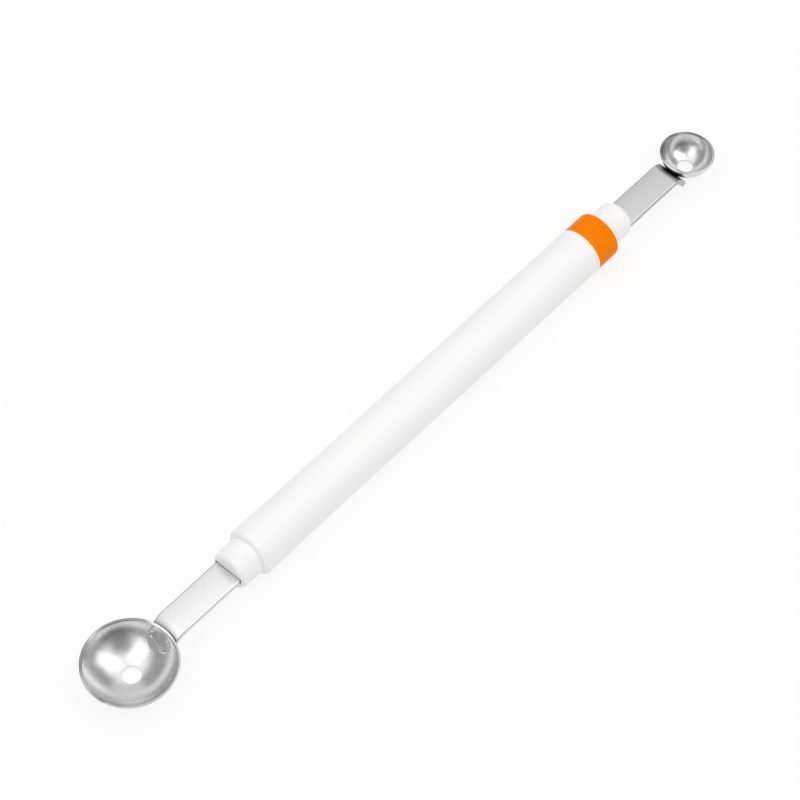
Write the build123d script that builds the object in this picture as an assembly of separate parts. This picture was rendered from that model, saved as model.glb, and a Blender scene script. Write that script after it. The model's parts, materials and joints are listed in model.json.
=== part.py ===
from build123d import *
from math import acos, cos, radians, sin, tan
import os

# Double-ended melon baller, in millimetres.
# While the pieces are drawn, X runs from the large cup's rim centre towards the small cup,
# Y is across and Z = 0 is the axis of the handle. The finished pieces are moved together,
# so that the origin lies under the middle of the whole tool and the tool stands on Z = 0.

# Handle tube, with a swollen mouth for the large plug
handle_length = 119.25
handle_diameter = 12.7
handle_bore = 9.8
mouth_diameter = 13.02
mouth_length = 9.0
mouth_easing = 2.8
mouth_bevel = 0.7
mouth_rounding = 1.9
handle_end_bevel = 0.25
bore_lead = 0.3

# Colour ring, on the small plug against the tube's end
ring_length = 7.2
ring_diameter = 12.56
ring_bevel = 0.7
ring_seat_bevel = 0.15

# Plugs, pressed into the tube
press_clearance = 0.02
shank_length = 18.0
shank_lead = 0.6
large_head_length = 6.6
large_head_diameter = 10.54
large_tip_diameter = 10.3
large_tip_bevel = 0.6
large_tip_rounding = 1.4
small_nose_length = 7.5
small_nose_diameter = 9.2
small_nose_rounding = 2.3

# Slots that hold the tails of the tangs, each with a wider mouth
slot_clearance = 0.03
slot_mouth_clearance = 0.28
slot_mouth_depth = 1.2

# Tangs, flat strips with a bent tab under each cup and a toothed tail in each plug
tang_thickness = 1.5
tang_edge_bevel = 0.2
tail_length = 16.0
tooth_gap_radius = 0.7
tooth_gap_pitch = 3.0
tooth_gap_count = 3

large_tang_width = 7.8
large_tang_top = 0.7
large_reach = 33.6
large_bend_radius = 7.4
large_tab_length = 8.5
large_tab_rounding = 1.5

small_tang_width = 7.45
small_tang_top = -0.15
small_reach = 25.1
small_bend_radius = 3.4
small_tab_length = 5.6
small_tab_rounding = 0.9

# Cups, pressed from sheet as caps of a ball, with the wall pressed flat at the weld
sheet = 0.6
rim_bevel = 0.15

large_rim_diameter = 24.2
large_inside_depth = 6.3
large_rim_height = 0.0
large_tilt = 3.5
large_hole_diameter = 4.8
large_press_depth = 0.22
large_weld_depth = 2.88

small_rim_diameter = 13.75
small_inside_depth = 5.4
small_rim_height = 0.4
small_tilt = 5.8
small_hole_diameter = 4.0
small_press_depth = 0.2
small_weld_depth = 3.2

# How far a cut runs past what it cuts
overrun = 1.0

# Places along the handle
tube_start = large_reach + large_head_length
tube_end = tube_start + handle_length
ring_end = tube_end + ring_length
small_tip = ring_end + small_nose_length
small_rim_x = small_tip + small_reach

# The small end is drawn like the large one, with its handle towards +X, then turned round
small_end = Location((small_rim_x, 0, 0), (0, 0, 180))

shank_diameter = handle_bore - 2 * press_clearance


def turned(corners):
    """Revolve a half outline about the handle's axis: (x, radius, rounding) each."""
    points = [(x, radius) for x, radius, rounding in corners]
    roundings = [rounding for x, radius, rounding in corners]
    outline = FilletPolyline(*points, radius=roundings, close=True)
    return revolve(Plane.XZ * make_face(outline), Axis.X)


def handle_tube():
    mouth = mouth_diameter / 2
    outside = handle_diameter / 2
    bore = handle_bore / 2
    eased = tube_start + mouth_length + mouth_easing
    return turned([
        (tube_start, bore + bore_lead, 0),
        (tube_start, mouth - mouth_bevel, 0),
        (tube_start + mouth_bevel, mouth, mouth_rounding),
        (tube_start + mouth_length, mouth, 0),
        (eased, outside, 0),
        (tube_end - handle_end_bevel, outside, 0),
        (tube_end, outside - handle_end_bevel, 0),
        (tube_end, bore, 0),
        (tube_start + bore_lead, bore, 0),
    ])


def colour_ring():
    outside = ring_diameter / 2
    bore = handle_bore / 2
    return turned([
        (tube_end, bore, 0),
        (tube_end, outside - ring_seat_bevel, 0),
        (tube_end + ring_seat_bevel, outside, 0),
        (ring_end - ring_bevel, outside, 0),
        (ring_end, outside - ring_bevel, 0),
        (ring_end, bore, 0),
    ])


def slot(tip, tang_width, tang_top):
    """The room for a tang's tail, from the plug's tip inwards."""
    middle = tang_top - tang_thickness / 2
    place = Location((tip - overrun, 0, middle))
    start = (Align.MIN, Align.CENTER, Align.CENTER)
    seat = Box(overrun + tail_length, tang_width + 2 * slot_clearance,
               tang_thickness + 2 * slot_clearance, align=start)
    mouth = Box(overrun + slot_mouth_depth, tang_width + 2 * slot_mouth_clearance,
                tang_thickness + 2 * slot_mouth_clearance, align=start)
    return place * (seat + mouth)


def large_end_plug():
    """A stepped head that seats on the tube's end, and a shank inside the tube."""
    tip = large_tip_diameter / 2
    head = large_head_diameter / 2
    shank = shank_diameter / 2
    end = tube_start + shank_length
    body = turned([
        (large_reach, 0, 0),
        (large_reach, tip - large_tip_bevel, 0),
        (large_reach + large_tip_bevel, tip, large_tip_rounding),
        (tube_start, head, 0),
        (tube_start, shank, 0),
        (end - shank_lead, shank, 0),
        (end, shank - shank_lead, 0),
        (end, 0, 0),
    ])
    return body - slot(large_reach, large_tang_width, large_tang_top)


def small_end_plug():
    """A rounded nose and one long shank, through the ring and into the tube."""
    shank = shank_diameter / 2
    nose_start = small_reach + small_nose_length
    end = nose_start + ring_length + shank_length
    body = turned([
        (small_reach, 0, 0),
        (small_reach, small_nose_diameter / 2, small_nose_rounding),
        (nose_start, shank, 0),
        (end - shank_lead, shank, 0),
        (end, shank - shank_lead, 0),
        (end, 0, 0),
    ])
    return small_end * (body - slot(small_reach, small_tang_width, small_tang_top))


def ball_radius(rim_diameter, inside_depth):
    """Outer radius of the ball whose cap has this rim and this depth."""
    depth = inside_depth + sheet
    rim = rim_diameter / 2
    return (rim * rim + depth * depth) / (2 * depth)


def weld_angle(rim_diameter, inside_depth, press_depth, weld_depth):
    """Where on the ball the weld sits, in radians from the middle of the cup's bottom."""
    radius = ball_radius(rim_diameter, inside_depth)
    above_rim = radius - inside_depth - sheet
    return acos((above_rim + weld_depth) / (radius - press_depth))


def weld_land(rim_diameter, inside_depth, rim_height, tilt, press_depth, weld_depth):
    """The middle of the flat that the tab is welded to, as (x, z), and the flat's slope."""
    radius = ball_radius(rim_diameter, inside_depth)
    above_rim = radius - inside_depth - sheet
    lean = radians(tilt)
    slope = lean + weld_angle(rim_diameter, inside_depth, press_depth, weld_depth)
    reach = radius - press_depth
    x = -above_rim * sin(lean) + reach * sin(slope)
    z = rim_height + above_rim * cos(lean) - reach * cos(slope)
    return x, z, slope


def tang(reach, width, top, bend_radius, tab_length, tab_rounding, land):
    """A strip from the plug towards the cup, bent so that its tab lies on the cup's land."""
    land_x, land_z, slope = land
    corner = land_x + (top - land_z) / tan(slope)
    tail = reach + tail_length
    end_x = corner - tab_length * cos(slope)
    end_z = top - tab_length * sin(slope)
    profile = FilletPolyline(
        (tail, top),
        (corner, top),
        (end_x, end_z),
        (end_x + tang_thickness * sin(slope), end_z - tang_thickness * cos(slope)),
        (corner + tang_thickness * tan(slope / 2), top - tang_thickness),
        (tail, top - tang_thickness),
        radius=[0, bend_radius, 0, 0, bend_radius - tang_thickness, 0],
        close=True,
    )
    strip = extrude(Plane.XZ * make_face(profile), width / 2, both=True)
    across = Axis((0, 0, 0), (-sin(slope), 0, cos(slope)))
    strip = fillet(strip.edges().filter_by(across), tab_rounding)
    strip = chamfer(strip.faces().filter_by(Axis.Y).edges(), tang_edge_bevel)
    return strip - tooth_gaps(tail, width, top)


def tooth_gaps(tail, width, top):
    """Round gaps along both edges of the tail, which leave teeth that grip the plug."""
    run = tooth_gap_count * tooth_gap_pitch
    middle = Location((tail - run / 2, 0, top - tang_thickness / 2))
    pin = Cylinder(tooth_gap_radius, tang_thickness + 2 * overrun)
    return middle * GridLocations(tooth_gap_pitch, width, tooth_gap_count, 2) * pin


def large_tang():
    land = weld_land(large_rim_diameter, large_inside_depth, large_rim_height,
                     large_tilt, large_press_depth, large_weld_depth)
    return tang(large_reach, large_tang_width, large_tang_top,
                large_bend_radius, large_tab_length, large_tab_rounding, land)


def small_tang():
    land = weld_land(small_rim_diameter, small_inside_depth, small_rim_height,
                     small_tilt, small_press_depth, small_weld_depth)
    return small_end * tang(small_reach, small_tang_width, small_tang_top,
                            small_bend_radius, small_tab_length, small_tab_rounding, land)


def pressed_cap(radius, above_rim, land_angle, land_distance):
    """The part of a ball below the rim plane, cut flat where the tab lies."""
    room = 2 * radius
    ball = Pos(0, 0, above_rim) * Sphere(radius)
    above = Box(room, room, room, align=(Align.CENTER, Align.CENTER, Align.MIN))
    outward = Vector(sin(land_angle), 0, -cos(land_angle))
    flat = Plane(Vector(0, 0, above_rim) + outward * land_distance, z_dir=outward)
    return ball - above - flat * above


def cup(rim_diameter, inside_depth, rim_height, tilt, hole_diameter, press_depth, weld_depth):
    radius = ball_radius(rim_diameter, inside_depth)
    above_rim = radius - inside_depth - sheet
    land_angle = weld_angle(rim_diameter, inside_depth, press_depth, weld_depth)
    land_distance = radius - press_depth
    shell = pressed_cap(radius, above_rim, land_angle, land_distance)
    shell -= pressed_cap(radius - sheet, above_rim, land_angle, land_distance - sheet)
    shell = chamfer(shell.edges().group_by(Axis.Z)[-1], rim_bevel)
    hole = Pos(0, 0, -inside_depth) * Cylinder(hole_diameter / 2, 2 * sheet + 2 * overrun)
    return Location((0, 0, rim_height), (0, -tilt, 0)) * (shell - hole)


def large_cup():
    return cup(large_rim_diameter, large_inside_depth, large_rim_height, large_tilt,
               large_hole_diameter, large_press_depth, large_weld_depth)


def small_cup():
    return small_end * cup(small_rim_diameter, small_inside_depth, small_rim_height,
                           small_tilt, small_hole_diameter, small_press_depth,
                           small_weld_depth)


pieces = {
    "handle_tube": handle_tube(),
    "large_end_plug": large_end_plug(),
    "small_end_plug": small_end_plug(),
    "colour_ring": colour_ring(),
    "large_tang": large_tang(),
    "small_tang": small_tang(),
    "large_cup": large_cup(),
    "small_cup": small_cup(),
}

# Stand the tool on Z = 0 with its middle over the origin
box = Compound(list(pieces.values())).bounding_box()
middle = box.center()
stand = Pos(-middle.X, -middle.Y, -box.min.Z)
print(f"moved by {-middle.X:.4f}, {-middle.Y:.4f}, {-box.min.Z:.4f}")
print(f"overall {box.size.X:.3f} x {box.size.Y:.3f} x {box.size.Z:.3f}")

os.makedirs("parts", exist_ok=True)
for name, piece in pieces.items():
    solid = stand * piece
    solid.label = name
    export_step(solid, f"parts/{name}.step")
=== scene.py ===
import bmesh
import bpy
import json
from math import acos, cos, pi, radians, sin, sqrt, tan
from mathutils import Matrix, Vector


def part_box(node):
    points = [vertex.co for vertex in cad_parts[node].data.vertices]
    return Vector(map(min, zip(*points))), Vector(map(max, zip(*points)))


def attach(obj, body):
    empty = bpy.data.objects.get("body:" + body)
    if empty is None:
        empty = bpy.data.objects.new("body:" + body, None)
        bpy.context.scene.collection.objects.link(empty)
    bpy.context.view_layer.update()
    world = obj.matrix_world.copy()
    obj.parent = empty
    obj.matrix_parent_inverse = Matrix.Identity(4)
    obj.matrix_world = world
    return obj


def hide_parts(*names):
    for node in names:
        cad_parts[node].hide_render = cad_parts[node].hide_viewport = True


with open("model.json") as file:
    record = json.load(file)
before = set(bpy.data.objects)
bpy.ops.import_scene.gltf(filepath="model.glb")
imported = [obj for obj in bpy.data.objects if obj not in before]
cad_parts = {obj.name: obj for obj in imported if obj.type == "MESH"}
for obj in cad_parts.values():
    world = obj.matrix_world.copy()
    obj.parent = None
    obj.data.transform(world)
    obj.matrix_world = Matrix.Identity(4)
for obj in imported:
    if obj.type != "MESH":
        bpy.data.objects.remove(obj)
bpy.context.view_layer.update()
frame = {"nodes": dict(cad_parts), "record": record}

mm = 0.001

# Handle and ring
mouth_diameter = 13.02 * mm
mouth_length = 9.0 * mm
mouth_easing = 2.8 * mm
mouth_blend = 4.0 * mm
mouth_rounding = 1.2 * mm
handle_diameter = 12.7 * mm
handle_bore = 9.8 * mm
handle_end_rounding = 0.25 * mm
ring_rounding = 1.0 * mm
ring_seat_rounding = 0.15 * mm

# Tangs, their tops measured from the handle's axis
tang_thickness = 1.5 * mm
tang_edge_rounding = 0.28 * mm
large_tang = {"width": 7.8 * mm, "top": 0.7 * mm, "bend_radius": 7.4 * mm,
              "tab_length": 8.5 * mm, "tab_rounding": 1.5 * mm}
small_tang = {"width": 7.45 * mm, "top": -0.15 * mm, "bend_radius": 3.4 * mm,
              "tab_length": 5.6 * mm, "tab_rounding": 0.9 * mm}

# Cups, caps of a ball pressed from sheet
sheet = 0.6 * mm
rim_rounding = 0.24 * mm
large_cup = {"rim": 24.1 * mm, "depth": 6.3 * mm, "hole": 4.8 * mm, "tilt": radians(3.5),
             "press": 0.22 * mm, "weld_depth": 2.88 * mm}
small_cup = {"rim": 13.72 * mm, "depth": 5.4 * mm, "hole": 4.0 * mm, "tilt": radians(5.8),
             "press": 0.2 * mm, "weld_depth": 3.2 * mm}

# Weld marks inside the cups: the lip's middle is a share of its width, the wobble's waves are radians
# per mm, and near_weld is the cosine of the widest angle from the weld
mark_length = 3.3 * mm
mark_width = 2.6 * mm
mark_turn = radians(18)
mark_aside = -0.3 * mm
mark_up = 0.76 * mm
mark_depth = 0.024 * mm
mark_lip = 0.006 * mm
mark_end_lip = 0.24 * mm
mark_lip_width = 0.32 * mm
lip_middle = 0.75
mark_wobble = 0.09 * mm
wobble_along = 4.3
wobble_aslant = 2.1
near_weld = 0.8

# How finely the shapes are cut
turned_steps = 128
corner_steps = 6
bend_steps = 12
tab_corner_steps = 8
strip_edge_steps = 4
wall_steps = 48
rim_steps = 192
rim_edge_steps = 4
mark_cuts = 3
merge_distance = 0.001 * mm
solid_merge_distance = 0.002 * mm
tip_distance = 0.01 * mm

# Angles between faces: what counts as flat, as sharp and as a square edge
flat_angle = radians(0.5)
plug_sharp_angle = radians(30)
plastic_sharp_angle = radians(40)
steel_sharp_angle = radians(50)
square_edge_angle = radians(60)

# Patterns, with their scales per metre, and the parts of their values that are spread over a range
mould_cloud = {"scale": 60, "detail": 3, "roughness": 0.5}
mould_grain = {"scale": 3600, "detail": 2, "roughness": 0.6}
rolling_lines = {"scale": 900, "detail": 3, "roughness": 0.6}
rolling_stretch = (14, 1, 1)
strip_mottle = {"scale": 900, "detail": 4, "roughness": 0.65}
press_rings = {"scale": 3000, "detail": 3, "roughness": 0.6}
cup_haze = {"scale": 500, "detail": 4, "roughness": 0.6}
rim_patches = {"scale": 160, "detail": 1, "roughness": 0.5}
weld_scorch = {"scale": 800, "detail": 3, "roughness": 0.6}
soft_spread = (0.3, 0.7)
firm_spread = (0.35, 0.65)
hard_spread = (0.42, 0.58)
grain_bump = {"strength": 0.25, "distance": 0.03 * mm}
rolling_bump = {"strength": 0.12, "distance": 0.02 * mm}
ring_bump = {"strength": 0.05, "distance": 0.02 * mm}

# Plastic
white_finish = {"colour": (0.975, 0.971, 0.968), "shade": (0.955, 0.952, 0.949),
                "roughness": 0.42, "gloss": 0.5}
orange_finish = {"colour": (1.0, 0.24, 0.0), "shade": (1.0, 0.205, 0.0),
                 "roughness": 0.36, "gloss": 0.03}
grain_smoother = 0.05
grain_rougher = 0.07
plastic_ior = 1.49
milky_share = 0.12
milky_spread = (1.0, 0.95, 0.9)
milky_depth = 1.2 * mm

# Rolled strip: bands along its edges, painted highlight and shade, and painted shade by the cup on upward
# faces
large_strip_tones = {"dark": 0.70, "light": 0.79, "torn": 0.62}
small_strip_tones = {"dark": 0.52, "light": 0.57, "torn": 0.45}
strip_roughness = (0.28, 0.40)
# Painted highlight: the top's -Y edge is made lighter and a little smoother
edge_highlight_band = 0.2 * mm
edge_highlight_gain = 1.08
edge_highlight_smoother = 0.06
torn_band = 0.04 * mm
# Painted shade: a dark line along the top's +Y edge
dark_edge_band = 0.16 * mm
dark_edge_tone = 0.28
upward = (0.1, 0.4)
# Painted shade on the strip's upward faces, darker towards the cup's rim
near_cup_shade_reach = 2.2 * mm
near_cup_shade_tone = 0.58
# Painted shade: near black on the bend's upward faces where it meets the cup's rim
crevice_shade_reach = 0.9 * mm
crevice_shade_bottom = 2.4 * mm
crevice_shade_tone = 0.07

# Pressed cups, the sides of the rim given as shares of its radius, with painted light on the rim's -Y side
# and by the tang
wall_tones = (0.65, 0.71)
cup_roughness = (0.19, 0.26)
scorch_tones = (0.58, 0.78)
large_rim_tones = {"dark": 0.26, "light": 0.5, "painted_rim_light": 0.5}
small_rim_tones = {"dark": 0.16, "light": 0.34, "painted_rim_light": 0.62}
# Painted light: the rim's edge is lighter on its -Y side
rim_light_shares = (0.2, 0.8)
# Painted highlight on the rim's edge beside the tang
tang_highlight_shares = (0.86, 0.95)
tang_highlight_tone = 0.78

# Camera, as the photograph was taken
camera_azimuth = -47.41
camera_elevation = 56.90
camera_distance = 1.300
camera_aim = Vector((2.97, 0, 6.83)) * mm
aim_offset_right = 4.35 * mm
aim_offset_up = 0.15 * mm
sensor_width = 36.0
lens_length = 242.1
nearest_seen = 0.05
farthest_seen = 10

# Soft boxes, their directions in degrees
box_distance = 0.9
box_height = 0.85
left_box = {"azimuth": -92, "elevation": 54, "width": 0.50, "power": 0.70}
right_box = {"azimuth": 41, "elevation": 50, "width": 0.47, "power": 1.06}

# The room: each patch has an azimuth, an elevation, an inner and an outer angle, in degrees
ceiling_patch = (-20, 79, 35, 60)
camera_patch = (-29, 48, 5, 34)
front_patch = (-20, 30, 12, 40)
side_patch = (134, 33, 14, 32)
over_band_patch = (0, 90, 75, 83)
over_floor_patch = (0, 90, 83, 89)
band_patch = (-35, 10, 30, 75)
ceiling_light = 1.28
camera_shade = 0.78
front_shade = 0.30
side_light = 0.4
band_light = 1.0
room_light = 0.44

# Floor
floor_half_width = 1.5
floor_tone = 0.95
floor_roughness = 0.9
floor_gloss = 0.1
floor_glow = 0.85


# Shared mesh steps

def finish_mesh(name, bm, material, node, sharp_angle):
    """Turn a bmesh into a piece that stands for one CAD node."""
    bmesh.ops.recalc_face_normals(bm, faces=bm.faces)
    mesh = bpy.data.meshes.new(name)
    bm.to_mesh(mesh)
    bm.free()
    for face in mesh.polygons:
        face.use_smooth = True
    mesh.set_sharp_from_angle(angle=sharp_angle)
    mesh.materials.append(material)
    piece = bpy.data.objects.new(name, mesh)
    bpy.context.scene.collection.objects.link(piece)
    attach(piece, "root")
    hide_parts(node)


def rounded_corners(bm, verts, rounding, steps):
    bmesh.ops.bevel(bm, geom=verts, offset=rounding, offset_type="OFFSET", segments=steps,
                    profile=0.5, affect="VERTICES", material=-1)


def rounded_line(bm, corners, closed, steps=corner_steps):
    """A line through (x, z, rounding) corners in the XZ plane, with its corners rounded."""
    places = [Vector((x, 0, z)) for x, z, rounding in corners]
    verts = [bm.verts.new(place) for place in places]
    count = len(verts)
    for i in range(count if closed else count - 1):
        bm.edges.new((verts[i], verts[(i + 1) % count]))
    for i, here in enumerate(places):
        rounding = corners[i][2]
        if rounding == 0:
            continue
        turn = pi - (places[i - 1] - here).angle(places[(i + 1) % count] - here)
        rounded_corners(bm, [verts[i]], rounding * tan(turn / 2), steps)


def turned(bm, axis, steps):
    """Spin everything in the bmesh about an axis through the origin."""
    bmesh.ops.spin(bm, geom=bm.verts[:] + bm.edges[:], cent=(0, 0, 0), axis=axis,
                   dvec=(0, 0, 0), angle=2 * pi, steps=steps, use_merge=True)
    bmesh.ops.remove_doubles(bm, verts=bm.verts, dist=merge_distance)


def verts_among(parts):
    return [part for part in parts if isinstance(part, bmesh.types.BMVert)]


# Places that come from the frame
tube_low, tube_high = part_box("handle_tube")
ring_low, ring_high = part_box("colour_ring")
axis_height = (tube_low.z + tube_high.z) / 2
on_axis = Matrix.Translation((0, 0, axis_height))


# Materials

def new_material(name):
    material = bpy.data.materials.new(name)
    material.use_nodes = True
    shader = material.node_tree.nodes["Principled BSDF"]
    return material, material.node_tree, shader


def object_coordinates(tree, location=(0, 0, 0), rotation=(0, 0, 0), scale=(1, 1, 1)):
    where = tree.nodes.new("ShaderNodeTexCoord")
    mapping = tree.nodes.new("ShaderNodeMapping")
    mapping.vector_type = "TEXTURE"
    mapping.inputs["Location"].default_value = location
    mapping.inputs["Rotation"].default_value = rotation
    mapping.inputs["Scale"].default_value = scale
    tree.links.new(where.outputs["Object"], mapping.inputs["Vector"])
    return mapping.outputs["Vector"]


def noise(tree, vector, scale, detail, roughness):
    node = tree.nodes.new("ShaderNodeTexNoise")
    node.inputs["Scale"].default_value = scale
    node.inputs["Detail"].default_value = detail
    node.inputs["Roughness"].default_value = roughness
    tree.links.new(vector, node.inputs["Vector"])
    return node.outputs["Fac"]


def ranged(tree, value, low, high, new_low, new_high, blend="LINEAR"):
    """The value's range from low to high, spread over a new range and held at its ends."""
    node = tree.nodes.new("ShaderNodeMapRange")
    node.interpolation_type = blend
    node.inputs["From Min"].default_value = low
    node.inputs["From Max"].default_value = high
    node.inputs["To Min"].default_value = new_low
    node.inputs["To Max"].default_value = new_high
    tree.links.new(value, node.inputs["Value"])
    return node.outputs["Result"]


def calculated(tree, operation, first, second):
    """A Math node, whose second value may be a number."""
    node = tree.nodes.new("ShaderNodeMath")
    node.operation = operation
    tree.links.new(first, node.inputs[0])
    if isinstance(second, float):
        node.inputs[1].default_value = second
    else:
        tree.links.new(second, node.inputs[1])
    return node.outputs[0]


def separated(tree, vector):
    """The x, y and z of a vector."""
    node = tree.nodes.new("ShaderNodeSeparateXYZ")
    tree.links.new(vector, node.inputs[0])
    return node.outputs["X"], node.outputs["Y"], node.outputs["Z"]


def distance_from_axis(tree, here):
    """Distance from the upright axis through the origin of these coordinates."""
    x, y = separated(tree, here)[:2]
    flat = tree.nodes.new("ShaderNodeCombineXYZ")
    tree.links.new(x, flat.inputs["X"])
    tree.links.new(y, flat.inputs["Y"])
    length = tree.nodes.new("ShaderNodeVectorMath")
    length.operation = "LENGTH"
    tree.links.new(flat.outputs[0], length.inputs[0])
    return length.outputs["Value"]


def grey(tone):
    return (tone, tone, tone)


def mixed_colour(tree, factor, first, second):
    """From the first colour to the second. Each is a plain colour or a node's output."""
    node = tree.nodes.new("ShaderNodeMix")
    node.data_type = "RGBA"
    for socket, colour in ((node.inputs[6], first), (node.inputs[7], second)):
        if isinstance(colour, tuple):
            socket.default_value = (*colour, 1)
        else:
            tree.links.new(colour, socket)
    tree.links.new(factor, node.inputs[0])
    return node.outputs[2]


def blotched(tree, pattern, spread, first, second):
    """Two colours in blotches that follow a pattern."""
    return mixed_colour(tree, ranged(tree, pattern, *spread, 0, 1), first, second)


def bumped(tree, shader, height, strength, distance):
    node = tree.nodes.new("ShaderNodeBump")
    node.inputs["Strength"].default_value = strength
    node.inputs["Distance"].default_value = distance
    tree.links.new(height, node.inputs["Height"])
    tree.links.new(node.outputs["Normal"], shader.inputs["Normal"])


def moulded_plastic(name, finish):
    """Satin plastic with the fine grain of the mould and a faint unevenness of colour."""
    material, tree, shader = new_material(name)
    here = object_coordinates(tree)
    cloud = noise(tree, here, **mould_cloud)
    colour = blotched(tree, cloud, firm_spread, finish["colour"], finish["shade"])
    tree.links.new(colour, shader.inputs["Base Color"])
    grain = noise(tree, here, **mould_grain)
    smoothest = finish["roughness"] - grain_smoother
    roughest = finish["roughness"] + grain_rougher
    tree.links.new(ranged(tree, grain, *soft_spread, smoothest, roughest), shader.inputs["Roughness"])
    bumped(tree, shader, grain, **grain_bump)
    shader.inputs["IOR"].default_value = plastic_ior
    shader.inputs["Specular IOR Level"].default_value = finish["gloss"]
    shader.inputs["Subsurface Weight"].default_value = milky_share
    shader.inputs["Subsurface Radius"].default_value = milky_spread
    shader.inputs["Subsurface Scale"].default_value = milky_depth
    return material


def strip_steel(name, tang, cup, cup_middle, tones):
    """Satin rolled strip, faintly mottled, with sheared sides, painted highlight and shade on its edges
    and by the cup.
    """
    material, tree, shader = new_material(name)
    shader.inputs["Metallic"].default_value = 1
    here = object_coordinates(tree)
    y, z = separated(tree, here)[1:]
    side = tang["width"] / 2
    top = axis_height + tang["top"]
    mottle = noise(tree, here, **strip_mottle)
    colour = blotched(tree, mottle, soft_spread, grey(tones["dark"]), grey(tones["light"]))

    # Painted highlight: a lighter band along the top's -Y edge
    painted_edge_highlight = ranged(tree, y, -side + tang_edge_rounding, -side + edge_highlight_band, 0, 1)
    colour = mixed_colour(tree, painted_edge_highlight, colour, grey(tones["light"] * edge_highlight_gain))
    # Painted shade: a dark line along the top's +Y edge, standing for a dark reflection in its rounding
    painted_dark_edge = ranged(tree, y, side - 2 * dark_edge_band, side - dark_edge_band, 0, 1)
    colour = mixed_colour(tree, painted_dark_edge, colour, grey(dark_edge_tone))

    facing = separated(tree, tree.nodes.new("ShaderNodeTexCoord").outputs["Normal"])[2]
    upper_face = ranged(tree, facing, *upward, 0, 1)
    from_cup = distance_from_axis(tree, object_coordinates(tree, location=cup_middle))
    cup_radius = cup["rim"] / 2
    # Painted shade: the strip's upward faces darken towards the cup's rim
    painted_near_cup_shade = ranged(tree, from_cup, cup_radius + near_cup_shade_reach, cup_radius, 0, 1, "SMOOTHSTEP")
    painted_near_cup_shade = calculated(tree, "MULTIPLY", painted_near_cup_shade, upper_face)
    colour = mixed_colour(tree, painted_near_cup_shade, colour, grey(near_cup_shade_tone * tones["light"]))
    # Painted shade: near black in the crevice between the bend and the cup's rim
    painted_crevice_shade = ranged(tree, from_cup, cup_radius + crevice_shade_reach, cup_radius, 0, 1, "SMOOTHSTEP")
    on_bend = ranged(tree, z, top - crevice_shade_bottom, top - crevice_shade_bottom / 2, 0, 1)
    painted_crevice_shade = calculated(tree, "MULTIPLY", calculated(tree, "MULTIPLY", painted_crevice_shade, on_bend), upper_face)
    colour = mixed_colour(tree, painted_crevice_shade, colour, grey(crevice_shade_tone))

    torn = ranged(tree, y, -side + 2 * torn_band, -side + torn_band, 0, 1)
    colour = mixed_colour(tree, torn, colour, grey(tones["torn"]))
    tree.links.new(colour, shader.inputs["Base Color"])
    satin = ranged(tree, mottle, *soft_spread, *strip_roughness)
    smoother = calculated(tree, "MULTIPLY", painted_edge_highlight, -edge_highlight_smoother)
    tree.links.new(calculated(tree, "ADD", satin, smoother), shader.inputs["Roughness"])
    lines = noise(tree, object_coordinates(tree, scale=rolling_stretch), **rolling_lines)
    bumped(tree, shader, lines, **rolling_bump)
    return material


def cup_steel(name, cup, centre, turned_round, rim_tones):
    """Polished sheet with haze, faint press rings, a patchy rim edge with painted light, and a scorched
    weld mark.
    """
    material, tree, shader = new_material(name)
    shader.inputs["Metallic"].default_value = 1
    half_turned = pi if turned_round else 0
    here = object_coordinates(tree, location=centre, rotation=(0, -cup["tilt"], half_turned))
    x, y, z = separated(tree, here)
    haze = noise(tree, here, **cup_haze)
    dark_wall, light_wall = wall_tones
    wall = blotched(tree, haze, soft_spread, grey(dark_wall), grey(light_wall))

    dark_scorch, light_scorch = scorch_tones
    scorch = noise(tree, here, **weld_scorch)
    scorched = blotched(tree, scorch, firm_spread, grey(dark_scorch), grey(light_scorch))
    mark = tree.nodes.new("ShaderNodeAttribute")
    mark.attribute_name = "weld_mark"
    wall = mixed_colour(tree, mark.outputs["Fac"], wall, scorched)

    radius = cup["rim"] / 2
    patches = noise(tree, here, **rim_patches)
    edge = blotched(tree, patches, hard_spread, grey(rim_tones["dark"]), grey(rim_tones["light"]))
    # Painted light: the rim's edge is lighter on the side towards -Y, in both cups
    sideways = calculated(tree, "MULTIPLY", y, 1.0 if turned_round else -1.0)
    painted_rim_light = ranged(tree, sideways, *(share * radius for share in rim_light_shares), 0, 1)
    edge = mixed_colour(tree, painted_rim_light, edge, grey(rim_tones["painted_rim_light"]))
    # Painted highlight: the rim's edge is lighter beside the tang
    painted_tang_highlight = ranged(tree, x, *(share * radius for share in tang_highlight_shares), 0, 1)
    edge = mixed_colour(tree, painted_tang_highlight, edge, grey(tang_highlight_tone))
    on_rim = ranged(tree, z, -rim_rounding, -rim_rounding / 2, 0, 1)
    tree.links.new(mixed_colour(tree, on_rim, wall, edge), shader.inputs["Base Color"])

    tree.links.new(ranged(tree, haze, *soft_spread, *cup_roughness), shader.inputs["Roughness"])
    rings = noise(tree, distance_from_axis(tree, here), **press_rings)
    bumped(tree, shader, rings, **ring_bump)
    return material


white_plastic = moulded_plastic("white_plastic", white_finish)
orange_plastic = moulded_plastic("orange_plastic", orange_finish)


# Handle and ring

def handle_tube():
    bm = bmesh.new()
    mouth = mouth_diameter / 2
    outside = handle_diameter / 2
    bore = handle_bore / 2
    start = tube_low.x
    end = tube_high.x
    rounded_line(bm, [
        (start, bore, 0),
        (start, mouth, mouth_rounding),
        (start + mouth_length, mouth, mouth_blend),
        (start + mouth_length + mouth_easing, outside, mouth_blend),
        (end, outside, handle_end_rounding),
        (end, bore, 0),
    ], closed=True)
    turned(bm, (1, 0, 0), turned_steps)
    bm.transform(on_axis)
    finish_mesh("handle_tube_body", bm, white_plastic, "handle_tube",
                plastic_sharp_angle)


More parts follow.
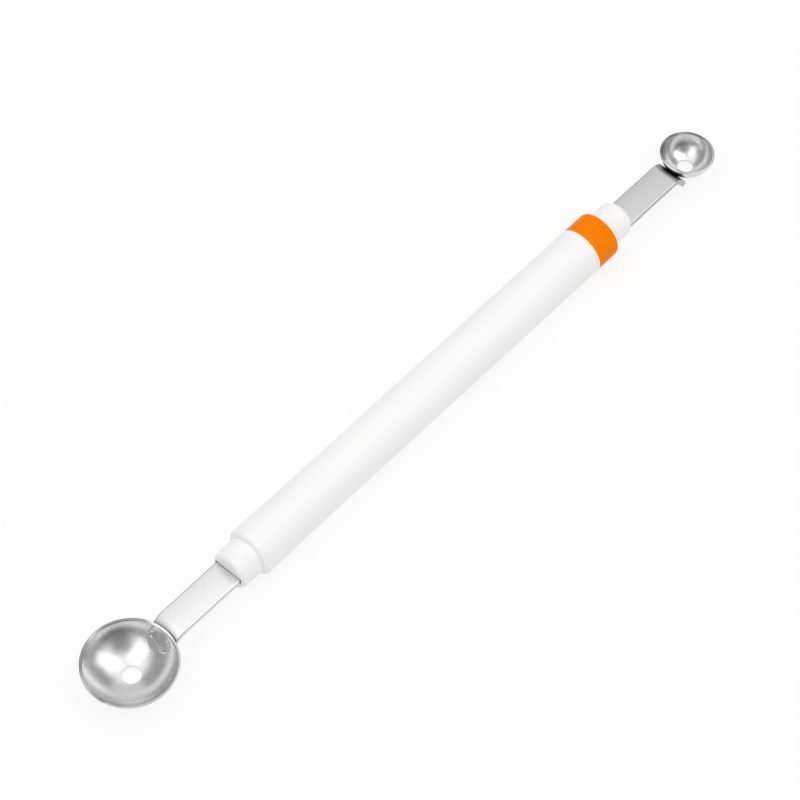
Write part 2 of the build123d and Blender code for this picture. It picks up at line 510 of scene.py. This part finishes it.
def colour_ring():
    bm = bmesh.new()
    outside = (ring_high.z - ring_low.z) / 2
    bore = handle_bore / 2
    rounded_line(bm, [
        (ring_low.x, bore, 0),
        (ring_low.x, outside, ring_seat_rounding),
        (ring_high.x, outside, ring_rounding),
        (ring_high.x, bore, 0),
    ], closed=True)
    turned(bm, (1, 0, 0), turned_steps)
    bm.transform(on_axis)
    finish_mesh("colour_ring_body", bm, orange_plastic, "colour_ring",
                plastic_sharp_angle)


def plug(name, node):
    """A smooth copy of the plug's solid, slot and all."""
    bm = bmesh.new()
    bm.from_mesh(frame["nodes"][node].data)
    bmesh.ops.remove_doubles(bm, verts=bm.verts, dist=solid_merge_distance)
    bmesh.ops.dissolve_limit(bm, angle_limit=flat_angle, verts=bm.verts, edges=bm.edges)
    finish_mesh(name, bm, white_plastic, node, plug_sharp_angle)


# Cups, drawn with the handle towards +X and the rim's centre at the origin

def ball(cup):
    """Outer radius of the ball and the height of its centre over the rim."""
    depth = cup["depth"] + sheet
    rim = cup["rim"] / 2
    radius = (rim * rim + depth * depth) / (2 * depth)
    return radius, radius - depth


def weld_angle(cup):
    """Where on the ball the weld sits, from the middle of the cup's bottom."""
    radius, above = ball(cup)
    return acos((above + cup["weld_depth"]) / (radius - cup["press"]))


def pressed_flat(bm, centre, outward, distance, middle_radius):
    """Press the wall flat where the tab lies, each face of the sheet to its own plane."""
    for vert in bm.verts:
        out = vert.co - centre
        limit = distance if out.length > middle_radius else distance - sheet
        past = out.dot(outward) - limit
        if past > 0:
            vert.co -= outward * past


def weld_mark(bm, centre, outward, distance, middle_radius):
    """The oblong hollow that the welding electrode leaves inside the cup, with a raised lip."""
    across = Vector((0, 1, 0))
    along = across.cross(outward)
    if along.z < 0:
        along.negate()
    middle = centre + outward * (distance - sheet) + across * mark_aside + along * mark_up
    lengthwise = across * cos(mark_turn) + along * sin(mark_turn)
    sidewise = along * cos(mark_turn) - across * sin(mark_turn)

    def from_mark(point):
        """Distance outside the mark's uneven edge, less than zero within it."""
        length = (point - middle).dot(lengthwise)
        side = (point - middle).dot(sidewise)
        uneven = mark_wobble * sin(wobble_along * length / mm) * cos(wobble_aslant * (length + side) / mm)
        past_end = max(abs(length) - mark_length / 2, 0)
        return Vector((past_end, side)).length - mark_width / 2 + uneven

    def inside_wall(point):
        out = point - centre
        return out.length < middle_radius and out.dot(outward) > middle_radius * near_weld

    near = [edge for edge in bm.edges if all(
        inside_wall(vert.co) and from_mark(vert.co) < 2 * mark_lip_width for vert in edge.verts)]
    bmesh.ops.subdivide_edges(bm, edges=near, cuts=mark_cuts, use_grid_fill=True)
    marked = bm.verts.layers.float.new("weld_mark")
    for vert in bm.verts:
        if not inside_wall(vert.co):
            continue
        past = from_mark(vert.co) / mark_lip_width
        hollow = 0.5 - 0.5 * sin(pi / 2 * min(max(2 * past, -1), 1))
        lip = cos(pi / 2 * min(abs(past - lip_middle), 1)) ** 2
        at_end = min(max(abs((vert.co - middle).dot(lengthwise)) / (mark_length / 2) - 1, 0), 1)
        lip_height = mark_lip + (mark_end_lip - mark_lip) * at_end
        vert[marked] = hollow
        vert.co += outward * (mark_depth * hollow - lip_height * lip)


def angle_on_arc(across, down):
    """The angle of a point on the wall's arc, from straight below the ball's centre."""
    return pi / 2 - Vector((across, -down)).angle(Vector((1, 0)))


def cup_piece(name, node, cup, place, material):
    """The wall's two arcs from the hole to the rim, joined, rounded, turned and then pressed."""
    bm = bmesh.new()
    radius, above = ball(cup)
    centre = Vector((0, 0, above))
    hole = cup["hole"] / 2
    hole_ends = []
    rim_ends = []
    for r in (radius, radius - sheet):
        hole_down = sqrt(r * r - hole * hole)
        hole_end = bm.verts.new((hole, 0, above - hole_down))
        to_rim = angle_on_arc(hole, hole_down) - angle_on_arc(sqrt(r * r - above * above), above)
        made = bmesh.ops.spin(bm, geom=[hole_end], cent=centre, axis=(0, 1, 0), dvec=(0, 0, 0),
                              angle=to_rim, steps=wall_steps)
        hole_ends.append(hole_end)
        rim_ends.append(verts_among(made["geom_last"])[0])
    bm.edges.new(rim_ends)
    bm.edges.new(hole_ends)
    rounded_corners(bm, rim_ends, rim_rounding, rim_edge_steps)
    turned(bm, (0, 0, 1), rim_steps)
    weld = weld_angle(cup)
    outward = Vector((sin(weld), 0, -cos(weld)))
    weld_place = (centre, outward, radius - cup["press"], radius - sheet / 2)
    pressed_flat(bm, *weld_place)
    weld_mark(bm, *weld_place)
    bm.transform(place)
    finish_mesh(name, bm, material, node, steel_sharp_angle)


# Tangs, drawn with the handle towards +X. The origin is on the line of the handle's axis, where it passes
# over or under the middle of the cup's rim

def weld_land(cup, rim_height):
    """The middle of the cup's pressed flat in the tang's drawing, as (x, z), and its slope."""
    radius, above = ball(cup)
    reach = radius - cup["press"]
    slope = cup["tilt"] + weld_angle(cup)
    x = -above * sin(cup["tilt"]) + reach * sin(slope)
    z = rim_height + above * cos(cup["tilt"]) - reach * cos(slope)
    return x, z, slope


def tang_piece(name, node, tang, land, tail, place, material):
    """The top of the strip from its tail to the tab's end, given its width, thickness and roundings."""
    bm = bmesh.new()
    land_x, land_z, slope = land
    top = tang["top"]
    corner = land_x + (top - land_z) / tan(slope)
    end_x = corner - tang["tab_length"] * cos(slope)
    end_z = top - tang["tab_length"] * sin(slope)
    rounded_line(bm, [(tail, top, 0), (corner, top, tang["bend_radius"]), (end_x, end_z, 0)],
                 closed=False, steps=bend_steps)
    bm.transform(Matrix.Translation((0, -tang["width"] / 2, 0)))
    made = bmesh.ops.extrude_edge_only(bm, edges=bm.edges)
    bmesh.ops.translate(bm, verts=verts_among(made["geom"]), vec=(0, tang["width"], 0))
    tips = [vert for vert in bm.verts
            if (vert.co - Vector((end_x, vert.co.y, end_z))).length < tip_distance]
    rounded_corners(bm, tips, tang["tab_rounding"], tab_corner_steps)
    bmesh.ops.recalc_face_normals(bm, faces=bm.faces)
    if sum(face.normal.z * face.calc_area() for face in bm.faces) < 0:
        bmesh.ops.reverse_faces(bm, faces=bm.faces)
    bmesh.ops.solidify(bm, geom=bm.faces, thickness=tang_thickness)
    bmesh.ops.recalc_face_normals(bm, faces=bm.faces)
    square = [edge for edge in bm.edges if edge.is_manifold and edge.calc_face_angle() > square_edge_angle]
    bmesh.ops.bevel(bm, geom=square, offset=tang_edge_rounding, offset_type="OFFSET",
                    segments=strip_edge_steps, profile=0.5, affect="EDGES", material=-1)
    bm.transform(place)
    finish_mesh(name, bm, material, node, steel_sharp_angle)


# Where each end stands: the record's holes give the cups' axes
holes = {mount["name"]: mount for mount in frame["record"]["mounts"]}


def rim_centre(cup, hole):
    """The middle of a cup's rim, from its hole's place and axis."""
    radius, above = ball(cup)
    half = cup["hole"] / 2
    outer = above - sqrt(radius ** 2 - half ** 2)
    inner = above - sqrt((radius - sheet) ** 2 - half ** 2)
    return Vector(hole["pos_m"]) + Vector(hole["axis"]).normalized() * (outer + inner) / 2


large_rim = rim_centre(large_cup, holes["large_cup_hole"])
small_rim = rim_centre(small_cup, holes["small_cup_hole"])
large_end = Matrix.Translation((large_rim.x, 0, axis_height))
small_end = Matrix.Translation((small_rim.x, 0, axis_height)) @ Matrix.Rotation(pi, 4, "Z")


def cup_place(end, rim, cup):
    lift = Matrix.Translation((0, 0, rim.z - axis_height))
    return end @ lift @ Matrix.Rotation(-cup["tilt"], 4, "Y")


def build_pieces():
    handle_tube()
    colour_ring()
    plug("large_plug_body", "large_end_plug")
    plug("small_plug_body", "small_end_plug")
    cup_piece("large_cup_bowl", "large_cup", large_cup, cup_place(large_end, large_rim, large_cup),
              cup_steel("large_cup_steel", large_cup, large_rim, False, large_rim_tones))
    cup_piece("small_cup_bowl", "small_cup", small_cup, cup_place(small_end, small_rim, small_cup),
              cup_steel("small_cup_steel", small_cup, small_rim, True, small_rim_tones))
    large_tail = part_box("large_tang")[1].x - large_rim.x
    small_tail = small_rim.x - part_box("small_tang")[0].x
    tang_piece("large_tang_strip", "large_tang", large_tang,
               weld_land(large_cup, large_rim.z - axis_height), large_tail, large_end,
               strip_steel("large_tang_steel", large_tang, large_cup, large_rim, large_strip_tones))
    tang_piece("small_tang_strip", "small_tang", small_tang,
               weld_land(small_cup, small_rim.z - axis_height), small_tail, small_end,
               strip_steel("small_tang_steel", small_tang, small_cup, small_rim, small_strip_tones))


# Studio

def pale_floor():
    """A matt floor that shows nearly white to the camera and in gloss, and keeps the tool's shadow."""
    bm = bmesh.new()
    bmesh.ops.create_grid(bm, x_segments=1, y_segments=1, size=floor_half_width)
    mesh = bpy.data.meshes.new("floor")
    bm.to_mesh(mesh)
    bm.free()
    floor = bpy.data.objects.new("floor", mesh)
    bpy.context.scene.collection.objects.link(floor)
    material, tree, shader = new_material("pale_floor")
    shader.inputs["Base Color"].default_value = (*grey(floor_tone), 1)
    shader.inputs["Roughness"].default_value = floor_roughness
    shader.inputs["Specular IOR Level"].default_value = floor_gloss
    glow = tree.nodes.new("ShaderNodeEmission")
    path = tree.nodes.new("ShaderNodeLightPath")
    seen = calculated(tree, "MAXIMUM", path.outputs["Is Camera Ray"], path.outputs["Is Glossy Ray"])
    seen = calculated(tree, "MAXIMUM", seen, path.outputs["Is Transmission Ray"])
    blend = tree.nodes.new("ShaderNodeMixShader")
    tree.links.new(calculated(tree, "MULTIPLY", seen, floor_glow), blend.inputs[0])
    tree.links.new(shader.outputs[0], blend.inputs[1])
    tree.links.new(glow.outputs[0], blend.inputs[2])
    tree.links.new(blend.outputs[0], tree.nodes["Material Output"].inputs["Surface"])
    mesh.materials.append(material)


def toward(azimuth, elevation):
    """A direction: azimuth 0 is -Y and 90 is +X, and elevation 90 is straight up."""
    a = radians(azimuth)
    e = radians(elevation)
    return Vector((sin(a) * cos(e), -cos(a) * cos(e), sin(e)))


def lamp(name, box):
    """An upright soft box that faces the tool."""
    light = bpy.data.lights.new(name, "AREA")
    light.shape = "RECTANGLE"
    light.size = box["width"]
    light.size_y = box_height
    light.energy = box["power"]
    holder = bpy.data.objects.new(name, light)
    way = toward(box["azimuth"], box["elevation"])
    holder.location = way * box_distance
    holder.rotation_euler = way.to_track_quat("Z", "Y").to_euler()
    bpy.context.scene.collection.objects.link(holder)


def patch(tree, direction, azimuth, elevation, inner, outer):
    """1 within the inner angle of this direction, falling softly to 0 at the outer one."""
    dot = tree.nodes.new("ShaderNodeVectorMath")
    dot.operation = "DOT_PRODUCT"
    dot.inputs[1].default_value = toward(azimuth, elevation)
    tree.links.new(direction, dot.inputs[0])
    value = dot.outputs["Value"]
    return ranged(tree, value, cos(radians(outer)), cos(radians(inner)), 0, 1, "SMOOTHSTEP")


def studio_world():
    """White for the camera. What lights the tool is a bright soft ceiling over a greyer room."""
    world = bpy.data.worlds.new("studio")
    bpy.context.scene.world = world
    world.use_nodes = True
    tree = world.node_tree
    background = tree.nodes["Background"]
    background.inputs["Color"].default_value = (1, 1, 1, 1)
    direction = tree.nodes.new("ShaderNodeTexCoord").outputs["Generated"]

    def with_more(light, where, strength):
        return calculated(tree, "ADD", light, calculated(tree, "MULTIPLY", where, strength))

    by_camera = patch(tree, direction, *camera_patch)
    shaded = calculated(tree, "MULTIPLY", by_camera, -camera_shade)
    open_ceiling = calculated(tree, "MULTIPLY", patch(tree, direction, *ceiling_patch),
                              calculated(tree, "ADD", shaded, 1.0))
    light = calculated(tree, "MULTIPLY", open_ceiling, ceiling_light - room_light)
    light = with_more(light, patch(tree, direction, *front_patch), -front_shade)
    light = with_more(light, patch(tree, direction, *side_patch), side_light)

    band = calculated(tree, "SUBTRACT", patch(tree, direction, *over_floor_patch),
                      patch(tree, direction, *over_band_patch))
    band = calculated(tree, "MULTIPLY", band, patch(tree, direction, *band_patch))
    light = with_more(light, band, band_light)
    light = calculated(tree, "ADD", light, room_light)

    path = tree.nodes.new("ShaderNodeLightPath")
    seen = tree.nodes.new("ShaderNodeMix")
    seen.inputs[3].default_value = 1.0
    tree.links.new(path.outputs["Is Camera Ray"], seen.inputs[0])
    tree.links.new(light, seen.inputs[2])
    tree.links.new(seen.outputs[0], background.inputs["Strength"])


def camera():
    view = bpy.data.cameras.new("camera")
    view.sensor_width = sensor_width
    view.lens = lens_length
    view.clip_start = nearest_seen
    view.clip_end = farthest_seen
    holder = bpy.data.objects.new("camera", view)
    a = radians(camera_azimuth)
    back = toward(camera_azimuth, camera_elevation)
    right = Vector((cos(a), sin(a), 0))
    up = back.cross(right)
    holder.location = camera_aim + back * camera_distance - right * aim_offset_right - up * aim_offset_up
    holder.rotation_euler = Matrix((right, up, back)).transposed().to_euler()
    bpy.context.scene.collection.objects.link(holder)
    bpy.context.scene.camera = holder


build_pieces()
pale_floor()
lamp("left_box", left_box)
lamp("right_box", right_box)
studio_world()
camera()
bpy.context.scene.view_settings.view_transform = "Standard"
